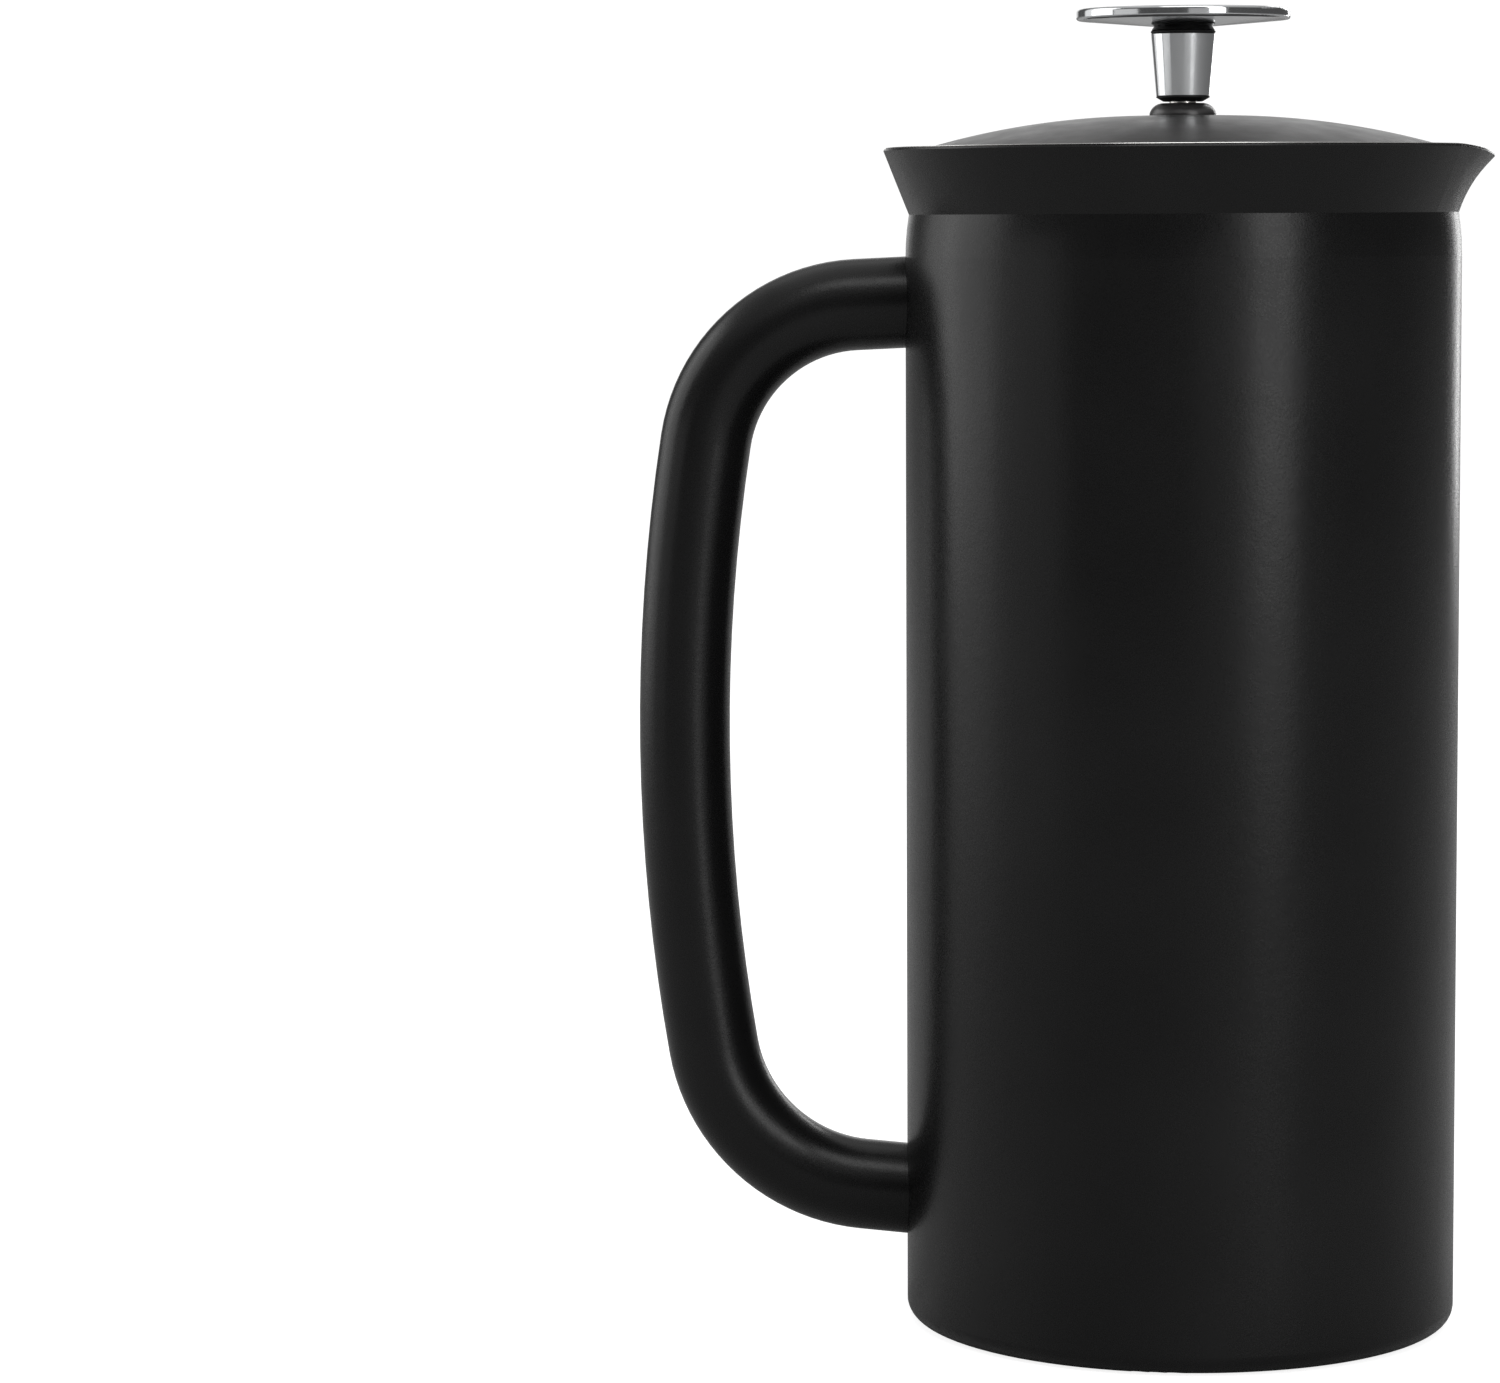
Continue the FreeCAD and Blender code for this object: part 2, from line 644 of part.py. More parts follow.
wt = D["skirt_wall"]
sh = D["seal_height"]
skirt = revolve(
    "lid_skirt",
    [
        (D["guide_radius"] + 0.3, D["deck_height"]),
        (D["skirt_top_radius"] - wt - 1.0, D["deck_height"]),
        (D["skirt_top_radius"] - wt, D["deck_height"] - 1.0),
        (D["skirt_top_radius"] - wt - 0.1, sh + 2.6),
        (D["skirt_low_radius"] - wt, sh + 0.4),
        (D["skirt_end_radius"] - wt, D["skirt_end_height"]),
        (D["skirt_end_radius"] - 0.9, D["skirt_end_height"], 1.2, 1),
        (D["skirt_end_radius"] + 0.06, D["skirt_end_height"] + 0.9),
        (D["skirt_low_radius"], sh - 1.9),
        (D["skirt_low_radius"], sh + 1.3),
        (D["skirt_top_radius"] - 0.5, sh + 1.3),
        (D["skirt_top_radius"] - 0.2, sh + 1.6),
        (D["skirt_top_radius"], sh + 7.5),
        (D["skirt_top_radius"], D["lid_rim_low"] - 0.05),
        (D["guide_radius"] + 0.3, D["lid_rim_low"] - 0.05),
    ],
)
# pouring slots, cut straight through front and back
slots = new_sketch(skirt, "slot_outlines", "XZ_Plane")
depth = {7: 7.1, 6: 10.9, 5: 14.2}
hw_ = D["slot_width"] / 2
for k in range(-7, 8):
    x = D["slot_pitch"] * k
    zl = sh - 0.8 - depth.get(abs(k), 16.2)
    x0, x1 = x - hw_, x + hw_
    zt = D["slot_top"] - hw_
    zb = zl + hw_
    r = val(hw_)
    xv, ztv, zbv = val(x), val(zt), val(zb)
    l0 = slots.addGeometry(Part.LineSegment(V(xv + r, zbv, 0), V(xv + r, ztv, 0)), False)
    t0 = slots.addGeometry(
        Part.ArcOfCircle(Part.Circle(V(xv, ztv, 0), V(0, 0, 1), r), 0, math.pi), False
    )
    l1 = slots.addGeometry(Part.LineSegment(V(xv - r, ztv, 0), V(xv - r, zbv, 0)), False)
    b0 = slots.addGeometry(
        Part.ArcOfCircle(Part.Circle(V(xv, zbv, 0), V(0, 0, 1), r), math.pi, 2 * math.pi), False
    )
    for a, b in ((l0, t0), (t0, l1), (l1, b0), (b0, l0)):
        slots.addConstraint(Sketcher.Constraint("Tangent", a, 2, b, 1))
    i = slots.addConstraint(Sketcher.Constraint("Radius", t0, r))
    bind(slots, i, hw_)
    place_point(slots, t0, 3, x if k else 0, zt)
    i = slots.addConstraint(Sketcher.Constraint("DistanceY", -1, 1, b0, 3, zbv))
    bind(slots, i, zb)
before = skirt.Tip.Shape.Volume
slot_cut = skirt.newObject("PartDesign::Pocket", "slots_cut")
slot_cut.Profile = slots
slot_cut.Type = "Length"
slot_cut.Length = 120.0
slot_cut.Midplane = True
skirt.Tip = slot_cut
doc.recompute()
must_cut("slots", before, slot_cut)
# four windows that the baffles snap into
wins = new_sketch(skirt, "snap_windows", "XZ_Plane")
SNAP_ANGLE = 38.7
xw = 0.5 * (N["skirt_low_radius"] + N["skirt_end_radius"]) * math.sin(math.radians(SNAP_ANGLE))
zw = N["skirt_end_height"] + 3.4
for s in (-1, 1):
    outline(
        wins,
        [
            (s * xw - 1.45, zw - 1.2),
            (s * xw + 1.45, zw - 1.2),
            (s * xw + 1.45, zw + 1.2),
            (s * xw - 1.45, zw + 1.2),
        ],
    )
before = skirt.Tip.Shape.Volume
win_cut = skirt.newObject("PartDesign::Pocket", "snap_windows_cut")
win_cut.Profile = wins
win_cut.Type = "Length"
win_cut.Length = 120.0
win_cut.Midplane = True
skirt.Tip = win_cut
doc.recompute()
must_cut("snap windows", before, win_cut)
keep(skirt, "lid_skirt")

lid_seal = revolve(
    "lid_seal",
    [
        (D["skirt_low_radius"] + 0.15, sh - 1.6),
        (D["skirt_low_radius"] + 0.9, sh - 1.6),
        (D["seal_radius"] - 2.1, sh - 1.0, 3.0, 1),
        (D["seal_radius"] - 0.35, sh - 0.75, 0.6, 1),
        (D["seal_radius"], sh - 0.1, 1.0, 1),
        (D["seal_radius"] - 0.8, sh + 0.75),
        (D["seal_radius"] - 2.4, sh + 1.05),
        (D["skirt_low_radius"] + 0.15, sh + 1.1),
    ],
)
keep(lid_seal, "lid_seal")

# glossy side baffles, one each side, snapped into the skirt's windows
BAFFLE_TOP, BAFFLE_LOW = 198.4, 180.4


def baffle_solid(label, side):
    """One baffle as a sector of a turned wall with slanted ends and a slanted lower edge."""
    r_low = N["skirt_end_radius"] - N["skirt_wall"] - 0.12
    slope = (N["skirt_low_radius"] - N["skirt_end_radius"]) / (N["seal_height"] + 0.4 - N["skirt_end_height"])
    r_top = r_low + slope * (BAFFLE_TOP - N["skirt_end_height"])
    t = 1.4
    pts = [
        (r_low - 0.75 - t, BAFFLE_LOW),
        (r_low - 0.75, BAFFLE_LOW),
        (r_low, N["skirt_end_height"]),
        (r_top, BAFFLE_TOP),
        (r_top - t, BAFFLE_TOP),
        (r_low - t, N["skirt_end_height"]),
    ]
    wire = Part.makePolygon([V(r, 0, z) for r, z in pts] + [V(pts[0][0], 0, pts[0][1])])
    turned = Part.Face(wire).revolve(V(0, 0, 0), V(0, 0, 1), 360.0)
    # the keeper: a prism along X, trapezoid in YZ whose lower corners are rounded, lower edge slanting up to the sides
    y_top = r_low * math.cos(math.radians(26.0))
    y_low = (r_low - 0.75) * math.cos(math.radians(31.0))
    z0, z1 = BAFFLE_LOW, BAFFLE_TOP
    zs = N["skirt_end_height"]
    corners = [
        V(0, -y_low - 0.0, z0),
        V(0, y_low + 0.0, z0),
        V(0, y_top, zs),
        V(0, y_top, z1),
        V(0, -y_top, z1),
        V(0, -y_top, zs),
    ]
    prism_wire = Part.makePolygon(corners + [corners[0]])
    prism = Part.Face(prism_wire).extrude(V(side * 60.0, 0, 0))
    prism = prism.makeFillet(
        1.8,
        [
            e
            for e in prism.Edges
            if abs(e.Vertexes[0].Point.z - z0) < 1e-6
            and abs(e.Vertexes[1].Point.z - z0) < 1e-6
            and abs(abs(e.Vertexes[0].Point.x - e.Vertexes[1].Point.x) - 60.0) < 1e-6
        ],
    )
    body = turned.common(prism)
    # slanted lower edge: 2.5 mm shorter at the far side than at the ends
    wedge = Part.Face(
        Part.makePolygon(
            [
                V(side * 15.0, -60, z0 - 3.0),
                V(side * 15.0, -60, z0 - 0.4),
                V(side * 41.5, -60, z0 + 2.5),
                V(side * 41.5, -60, z0 - 3.0),
                V(side * 15.0, -60, z0 - 3.0),
            ]
        )
    ).extrude(V(0, 120, 0))
    body = body.cut(wedge)
    # snap tabs, square to the windows
    r_mid = r_low + slope * (zw - N["skirt_end_height"])
    y_in = math.sqrt((r_mid - 0.7) ** 2 - (xw + 0.95) ** 2)
    y_out = math.sqrt((r_mid + 1.4) ** 2 - (xw + 0.95) ** 2)
    for sy in (-1, 1):
        tab = Part.makeBox(1.9, y_out - y_in, 1.7, V(side * xw - 0.95, min(sy * y_in, sy * y_out), zw - 0.85))
        body = body.fuse(tab)
    return body.removeSplitter()


for label, side in (("left_baffle", -1), ("right_baffle", 1)):
    f = doc.addObject("Part::Feature", label + "_shape")
    f.Shape = baffle_solid(label, side)
    keep(f, label)

# rod guide with its boss, and the nut that clamps cap and skirt
gr, gb = D["guide_radius"], D["guide_bore"]
dt = D["dome_top_height"]
rod_guide = revolve(
    "rod_guide",
    [
        (gb, 209.5),
        (gr - 0.4, 209.5),
        (gr, 209.9),
        (gr, dt + 0.02),
        (D["boss_radius"], dt + 0.02),
        (D["boss_radius"], dt + 0.45, 2.6, 1),
        (4.1, dt + D["boss_height"]),
        (gb + 0.4, dt + D["boss_height"]),
        (gb, dt + D["boss_height"] - 0.4),
    ],
)
keep(rod_guide, "rod_guide")
nut = new_body("guide_nut")


def hexagon(sk, flat):
    r = val(flat) / math.sqrt(3.0)
    pts = []
    for k in range(6):
        a = math.radians(60 * k)
        pts.append((r * math.cos(a), r * math.sin(a)))
    outline(sk, pts)


nsk = new_sketch(nut, "guide_nut_hex", "XY_Plane", 212.4)
hexagon(nsk, D["nut_flat"])
npad = nut.newObject("PartDesign::Pad", "guide_nut_pad")
npad.Profile = nsk
npad.Length = 4.5
nut.Tip = npad
doc.recompute()
nsk2 = new_sketch(nut, "guide_nut_bore", "XY_Plane", 212.0)
c3 = nsk2.addGeometry(Part.Circle(V(0, 0, 0), V(0, 0, 1), val(gr) + 0.03), False)
nsk2.addConstraint(Sketcher.Constraint("Coincident", c3, 3, -1, 1))
i = nsk2.addConstraint(Sketcher.Constraint("Radius", c3, val(gr) + 0.03))
bind(nsk2, i, gr + 0.03)
npk = nut.newObject("PartDesign::Pocket", "guide_nut_hole")
npk.Profile = nsk2
npk.Type = "Length"
npk.Length = 10.0
npk.Reversed = True
nut.Tip = npk
doc.recompute()
must_cut("nut bore", npad.Shape.Volume, npk)
keep(nut, "guide_nut")

# ---------------------------------------------------------------- plunger: rod and knob
inner_low = N["outer_filter_low"] + N["filter_offset"]
of = D["outer_filter_low"]
il = D["outer_filter_low"] + D["filter_offset"]
rr = D["rod_radius"]
rod = revolve(
    "plunger_rod",
    [
        (0, il + 1.6),
        (1.6, il + 1.6),
        (2.0, il + 2.0),
        (2.0, il + 9.2),
        (rr, il + 9.2),
        (rr, D["stem_top"] - 3.0),
        (rr - 0.4, D["stem_top"] - 2.6),
        (0, D["stem_top"] - 2.6),
    ],
)
keep(rod, "plunger_rod")
kl, stp = D["knob_low"], D["stem_top"]
bumper = revolve(
    "knob_bumper",
    [
        (rr + 0.03, kl),
        (3.7, kl),
        (D["stem_low_radius"], kl + 0.75),
        (D["stem_low_radius"], kl + 0.95),
        (rr + 0.03, kl + 0.95),
    ],
)
keep(bumper, "knob_bumper")
stem = revolve(
    "knob_stem",
    [
        (rr + 0.02, kl + 0.97),
        (D["stem_low_radius"] - 0.15, kl + 0.97),
        (D["stem_low_radius"] + 0.01, kl + 1.12),
        (D["stem_top_radius"] - 0.02, stp - 0.2),
        (D["stem_top_radius"] - 0.2, stp),
        (1.6, stp),
        (1.6, stp - 2.5),
        (rr + 0.02, stp - 2.5),
    ],
)
keep(stem, "knob_stem")
dl, dw, dr = D["disc_low"], D["disc_wall"], D["disc_radius"]
washer = revolve(
    "knob_washer",
    [
        (1.6, stp + 0.02),
        (D["stem_top_radius"] - 0.1, stp + 0.02),
        (D["stem_top_radius"], stp + 0.12),
        (D["stem_top_radius"], stp + 0.32),
        (D["stem_top_radius"] - 0.1, stp + 0.42),
        (1.6, stp + 0.42),
    ],
)
keep(washer, "knob_washer")
collar = revolve(
    "knob_collar",
    [
        (1.6, stp + 0.44),
        (D["stem_top_radius"] - 0.3, stp + 0.44),
        (D["stem_top_radius"] - 0.15, stp + 0.6),
        (5.7, D["disc_hub"] - 0.3),
        (5.5, D["disc_hub"] - 0.02),
        (1.6, D["disc_hub"] - 0.02),
    ],
)
keep(collar, "knob_collar")
disc = revolve(
    "knob_disc",
    [
        (0, stp - 2.3),
        (1.55, stp - 2.3),
        (1.55, D["disc_hub"]),
        (5.4, D["disc_hub"]),
        (dr - 0.6, dl, 0.62, 1),
        (dr, dl + 0.6),
        (dr, dl + 1.5, 0.62, 1),
        (dr - 0.6, dl + 2.1, 300.0, 1),
        (1.5, dl + dw),
        (0, dl + dw),
    ],
)
keep(disc, "knob_disc")

# ---------------------------------------------------------------- filters
RIBS = 10
SPOKES = 5
cw, mw = D["cage_wall"], D["mesh_wall"]


def axis_of(body):
    return ([f for f in body.Origin.OriginFeatures if f.Role == "Z_Axis"][0], [""])


def pattern(body, name, feature, count):
    pat = body.newObject("PartDesign::PolarPattern", name)
    pat.Originals = [feature]
    pat.Axis = axis_of(body)
    pat.Angle = 360.0
    pat.Occurrences = count
    body.Tip = pat
    doc.recompute()
    return pat


def sector(body, name, kind, plane, points, angle, count):
    """A turned feature over part of a circle, centred on its sketch plane, repeated about Z."""
    sk = new_sketch(body, name + "_profile", plane)
    outline(sk, points)
    before = body.Tip.Shape.Volume
    f = body.newObject("PartDesign::" + kind, name)
    f.Profile = sk
    f.ReferenceAxis = (sk, ["V_Axis"])
    f.Angle = angle
    f.Midplane = True
    body.Tip = f
    doc.recompute()
    if kind == "Groove":
        must_cut(name, before, f)
    return pattern(body, name + "_all", f, count) if count > 1 else f


def cage_windows(body, name, at, z, d0, d1):
    """The openings between the ribs, from height d0 to d1 above the underside z."""
    mid = val(at((d0 + d1) / 2.0))
    rib = math.degrees(N["rib_width"] / mid)
    sector(
        body,
        name + "_window",
        "Groove",
        "XZ_Plane",
        [
            (at(d0) - cw - 0.15, z + d0),
            (at(d0) + 2.0, z + d0),
            (at(d1) + 0.6, z + d1),
            (at(d1) - cw - 0.15, z + d1),
        ],
        360.0 / RIBS - rib,
        RIBS,
    )


def spokes(body, name, z, thick, r1, width):
    sk = new_sketch(body, name + "_spoke", "XY_Plane", z)
    outline(sk, [(-1.0, -width / 2), (r1, -width / 2), (r1, width / 2), (-1.0, width / 2)])
    pad = body.newObject("PartDesign::Pad", name + "_spoke_pad")
    pad.Profile = sk
    pad.Length = thick
    body.Tip = pad
    doc.recompute()
    return pattern(body, name + "_spokes", pad, SPOKES)


def add_turned(body, name, points):
    sk = new_sketch(body, name + "_profile", "XZ_Plane")
    outline(sk, points)
    f = body.newObject("PartDesign::Revolution", name)
    f.Profile = sk
    f.ReferenceAxis = (sk, ["V_Axis"])
    f.Angle = 360.0
    body.Tip = f
    doc.recompute()
    return f


def cone(low, top, height):
    """Outer radius of a cage at a height above its underside."""

    def at(dz):
        return low + (top - low) * Q.of(dz) / height

    return at


ic = cone(D["inner_low_radius"], D["inner_top_radius"], D["inner_cage_height"])
H = D["inner_cage_height"]
T = D["inner_height"]
FLOOR = 1.6
inner_frame = revolve(
    "inner_filter_frame",
    [
        (31.0, il),
        (ic(0) - 0.4, il),
        (ic(0), il + 0.4),
        (ic(H), il + H),
        (D["inner_collar_radius"] - 0.3, il + H),
        (D["inner_collar_radius"], il + H + 0.3),
        (D["inner_collar_radius"], il + T - 7.3),
        (D["ring_radius"] - 0.9, il + T - 7.3),
        (D["ring_radius"] - 0.2, il + T - 6.9),
        (D["ring_radius"] - 0.2, il + T - 6.3),
        (D["groove_radius"], il + T - 6.3),
        (D["groove_radius"], il + T - 2.1),
        (D["ring_radius"], il + T - 2.1),
        (D["ring_radius"], il + T - 0.3),
        (D["ring_radius"] - 0.3, il + T),
        (D["inner_mouth_radius"] + 1.6, il + T),
        (D["inner_mouth_radius"], il + T - 1.6),
        (D["inner_mouth_radius"], il + H + 1.6),
        (ic(H) - cw - mw - 0.3, il + H + 1.2),
        (ic(H) - cw - mw - 0.3, il + H),
        (ic(H) - cw, il + H),
        (ic(2.2) - cw, il + 2.2),
        (ic(2.2) - cw - 0.3, il + 2.2),
        (ic(5.6) - cw - 0.3, il + 5.6),
        (ic(5.6) - cw - 1.1, il + 5.6),
        (ic(FLOOR) - cw - 1.1, il + FLOOR),
        (31.0, il + FLOOR),
    ],
)
cage_windows(inner_frame, "inner", ic, il, 2.2, 35.2)
spokes(inner_frame, "inner", val(il), FLOOR, 31.5, 3.2)
add_turned(
    inner_frame,
    "inner_hub",
    [
        (0, il),
        (5.6, il),
        (5.6, il + 5.5),
        (4.2, il + 9.15),
        (2.03, il + 9.15),
        (2.03, il + 1.55),
        (0, il + 1.55),
    ],
)
# bayonet lugs, front and back
lug_z = il + H + 2.2
LUG_R = 40.15
sector(
    inner_frame,
    "bayonet_lug",
    "Revolution",
    "YZ_Plane",
    [
        (-38.4, lug_z),
        (-(LUG_R - 0.3), lug_z),
        (-LUG_R, lug_z + 0.3),
        (-LUG_R, lug_z + 2.7),
        (-(LUG_R - 0.3), lug_z + 3.0),
        (-38.4, lug_z + 3.0),
    ],
    6.8,
    2,
)
keep(inner_frame, "inner_filter_frame")

EPS = 0.03
inner_mesh = revolve(
    "inner_filter_mesh",
    [
        (ic(2.2) - cw - mw - EPS, il + 2.2 + EPS),
        (ic(2.2) - cw - EPS, il + 2.2 + EPS),
        (ic(H) - cw - EPS, il + H - EPS),
        (ic(H) - cw - mw - EPS, il + H - EPS),
    ],
)
keep(inner_mesh, "inner_filter_mesh")
inner_floor = revolve(
    "inner_filter_floor_mesh",
    [
        (5.75, il + FLOOR + EPS),
        (33.1, il + FLOOR + EPS),
        (33.1, il + FLOOR + EPS + mw),
        (5.75, il + FLOOR + EPS + mw),
    ],
)
keep(inner_floor, "inner_filter_floor_mesh")

g = D["groove_radius"]
w = D["wiper_radius"]
seal = revolve(
    "filter_seal",
    [
        (g + 0.05, il + T - 6.25),
        (w - 2.5, il + T - 6.25),
        (w - 0.9, il + T - 6.8),
        (w - 0.1, il + T - 6.95, 0.4, 1),
        (w, il + T - 6.5),
        (w - 0.7, il + T - 5.9),
        (w - 2.0, il + T - 5.1),
        (w - 2.0, il + T - 3.4),
        (w - 0.7, il + T - 2.6),
        (w, il + T - 2.0, 0.4, 1),
        (w - 0.1, il + T - 1.55),
        (w - 0.9, il + T - 1.65),
        (w - 2.5, il + T - 2.15),
        (g + 0.05, il + T - 2.15),
    ],
)
keep(seal, "filter_seal")

oc = cone(D["outer_low_radius"], D["outer_top_radius"], D["outer_cage_height"])
OH = D["outer_cage_height"]
OT = D["outer_height"]
outer_frame = revolve(
    "outer_filter_frame",
    [
        (33.0, of),
        (oc(0) - 0.4, of),
        (oc(0), of + 0.4),
        (oc(OH), of + OH),
        (D["outer_flange_radius"] - 0.5, of + OH + 1.2),
        (D["outer_flange_radius"], of + OH + 1.6),
        (D["outer_flange_radius"], of + OH + 2.0),
        (D["outer_collar_radius"] + 0.3, of + OH + 2.6),
        (D["outer_collar_radius"], of + OH + 2.9),
        (D["outer_collar_radius"], of + OT - 0.3),
        (D["outer_collar_radius"] - 0.3, of + OT),
        (D["outer_collar_bore"] + 0.3, of + OT),
        (D["outer_collar_bore"], of + OT - 0.3),
        (D["outer_collar_bore"], of + OH + 2.4),
        (oc(OH) - cw - 0.5, of + OH + 1.6),
        (oc(OH) - cw - 0.5, of + OH),
        (oc(OH) - cw, of + OH),
        (oc(2.2) - cw, of + 2.2),
        (oc(2.2) - cw - 0.3, of + 2.2),
        (oc(4.4) - cw - 0.3, of + 4.4),
        (oc(4.4) - cw - 1.0, of + 4.4),
        (oc(FLOOR) - cw - 1.0, of + FLOOR),
        (33.0, of + FLOOR),
    ],
)
cage_windows(outer_frame, "outer", oc, of, 2.2, 35.0)
spokes(outer_frame, "outer", val(of), FLOOR, 33.5, 3.2)
add_turned(outer_frame, "outer_hub", [(0, of), (7.0, of), (7.0, of + FLOOR), (0, of + FLOOR)])
# bayonet tracks: a run around the bore and an entry from the top, with a window where the lug locks
turn = D["bayonet_turn"]
CLEAR = 1.0


def track(name, angle0, angle1, z0, z1, flip):
    c = doc.addObject("Part::Cylinder", name)
    c.Radius = LUG_R + 0.35
    c.Angle = angle1 - angle0
    c.Height = z1 - z0
    c.Placement = Placement(V(0, 0, z0), Rotation(V(0, 0, 1), angle0 + flip))
    return c


lz = val(lug_z)
cutters = []
for k, flip in enumerate((0.0, 180.0)):
    a_mid = 270.0
    cutters.append(
        track(
            "track_run_%d" % k,
            a_mid - N["bayonet_turn"] - 3.4 - CLEAR,
            a_mid + 3.4 + CLEAR,
            lz - 0.4,
            lz + 3.4,
            flip,
        )
    )
    cutters.append(
        track(
            "track_entry_%d" % k,
            a_mid - N["bayonet_turn"] - 3.4 - CLEAR,
            a_mid - N["bayonet_turn"] + 3.4 + CLEAR,
            lz + 3.0,
            val(of) + N["outer_height"] + 1.0,
            flip,
        )
    )
    win = doc.addObject("Part::Box", "lock_window_%d" % k)
    win.Length, win.Width, win.Height = 7.0, 6.0, 4.0
    y = -44.5 if k == 0 else 38.5
    win.Placement = Placement(V(-3.5, y, lz - 0.5), Rotation())
    cutters.append(win)
tracks = doc.addObject("Part::MultiFuse", "bayonet_tracks")
tracks.Shapes = cutters
outer_cut = doc.addObject("Part::Cut", "outer_filter_cut")
outer_cut.Base, outer_cut.Tool = outer_frame, tracks
doc.recompute()
must_cut("bayonet", outer_frame.Shape.Volume, outer_cut)
keep(outer_cut, "outer_filter_frame")
outer_mesh = revolve(
    "outer_filter_mesh",
    [
        (oc(2.2) - cw - mw - EPS, of + 2.2 + EPS),
        (oc(2.2) - cw - EPS, of + 2.2 + EPS),
        (oc(OH) - cw - EPS, of + OH - EPS),
        (oc(OH) - cw - mw - EPS, of + OH - EPS),
    ],
)
keep(outer_mesh, "outer_filter_mesh")
outer_floor = revolve(
    "outer_filter_floor_mesh",
    [
        (0, of + FLOOR + EPS),
        (35.7, of + FLOOR + EPS),
        (35.7, of + FLOOR + EPS + mw),
        (0, of + FLOOR + EPS + mw),
    ],
)
keep(outer_floor, "outer_filter_floor_mesh")

# ---------------------------------------------------------------- check and write
doc.recompute()
bad = [o.Name for o in doc.Objects if "Invalid" in o.State or "Error" in o.State]
if bad:
    raise RuntimeError("objects in error: %s" % bad)
os.makedirs("parts", exist_ok=True)
for label, obj in final.items():
    shape = obj.Shape
    if shape.isNull() or not shape.isValid():
        raise RuntimeError("%s: shape is null or not valid" % label)
    if len(shape.Solids) != 1:
        raise RuntimeError("%s: %d solids" % (label, len(shape.Solids)))
    shape.exportStep("parts/%s.step" % label)
    bb = shape.BoundBox
    print(
        "%-26s %9.1f mm3  x %7.2f %7.2f  y %7.2f %7.2f  z %7.2f %7.2f"
        % (label, shape.Volume, bb.XMin, bb.XMax, bb.YMin, bb.YMax, bb.ZMin, bb.ZMax)
    )
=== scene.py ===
import math

import bpy
from mathutils import Matrix, Vector
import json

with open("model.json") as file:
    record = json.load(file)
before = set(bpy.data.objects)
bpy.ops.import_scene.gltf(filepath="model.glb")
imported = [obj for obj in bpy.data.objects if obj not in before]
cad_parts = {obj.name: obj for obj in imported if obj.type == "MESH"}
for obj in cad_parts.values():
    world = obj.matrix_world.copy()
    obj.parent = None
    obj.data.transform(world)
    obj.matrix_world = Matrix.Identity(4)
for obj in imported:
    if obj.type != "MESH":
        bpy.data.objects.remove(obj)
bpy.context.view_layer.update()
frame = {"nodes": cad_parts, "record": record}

NODES = frame["nodes"]

scene = bpy.context.scene
scene.view_settings.view_transform = "Standard"
scene.view_settings.look = "None"
scene.view_settings.exposure = 0.0
scene.view_settings.gamma = 1.0


# ------------------------------------------------------------------ material helpers
class Mat:
    """A small wrapper that builds a node material."""

    def __init__(self, name):
        self.m = bpy.data.materials.new(name)
        self.m.use_nodes = True
        self.t = self.m.node_tree
        self.t.nodes.clear()
        self.out = self.t.nodes.new("ShaderNodeOutputMaterial")
        self.b = self.t.nodes.new("ShaderNodeBsdfPrincipled")
        self.t.links.new(self.b.outputs[0], self.out.inputs[0])
        self.coord = self.t.nodes.new("ShaderNodeTexCoord").outputs["Object"]

    def n(self, kind, **kw):
        node = self.t.nodes.new(kind)
        for k, v in kw.items():
            setattr(node, k, v)
        return node

    def link(self, a, b):
        self.t.links.new(a, b)

    def set(self, **kw):
        for k, v in kw.items():
            self.b.inputs[k.replace("_", " ")].default_value = v

    def put(self, name, value):
        self.b.inputs[name].default_value = value

    def noise(self, scale, detail=2.0, rough=0.5, stretch=None, distort=0.0):
        src = self.coord
        if stretch:
            mp = self.n("ShaderNodeMapping")
            mp.inputs["Scale"].default_value = stretch
            self.link(src, mp.inputs[0])
            src = mp.outputs[0]
        nz = self.n("ShaderNodeTexNoise")
        nz.inputs["Scale"].default_value = scale
        nz.inputs["Detail"].default_value = detail
        nz.inputs["Roughness"].default_value = rough
        nz.inputs["Distortion"].default_value = distort
        self.link(src, nz.inputs["Vector"])
        return nz.outputs["Fac"]

    def ramp(self, src, lo, hi, a=0.0, b=1.0, smooth=False):
        r = self.n("ShaderNodeMapRange")
        if smooth:
            r.interpolation_type = "SMOOTHSTEP"
        r.inputs["From Min"].default_value = lo
        r.inputs["From Max"].default_value = hi
        r.inputs["To Min"].default_value = a
        r.inputs["To Max"].default_value = b
        self.link(src, r.inputs["Value"])
        return r.outputs["Result"]

    def math(self, op, a, b=None, c=None):
        m = self.n("ShaderNodeMath", operation=op)
        for i, v in enumerate((a, b, c)):
            if v is None:
                continue
            if isinstance(v, (int, float)):
                m.inputs[i].default_value = v
            else:
                self.link(v, m.inputs[i])
        return m.outputs[0]

    def mix(self, fac, ca, cb):
        m = self.n("ShaderNodeMix", data_type="RGBA")
        m.inputs[0].default_value = 0.5
        if isinstance(fac, (int, float)):
            m.inputs[0].default_value = fac
        else:
            self.link(fac, m.inputs[0])
        for sock, c in ((m.inputs[6], ca), (m.inputs[7], cb)):
            if isinstance(c, tuple):
                sock.default_value = (*c, 1.0)
            else:
                self.link(c, sock)
        return m.outputs[2]

    def bump(self, height, distance, strength=1.0, normal=None):
        bp = self.n("ShaderNodeBump")
        bp.inputs["Strength"].default_value = strength
        bp.inputs["Distance"].default_value = distance
        self.link(height, bp.inputs["Height"])
        if normal is not None:
            self.link(normal, bp.inputs["Normal"])
        return bp.outputs[0]

    def to(self, src, name):
        self.link(src, self.b.inputs[name])


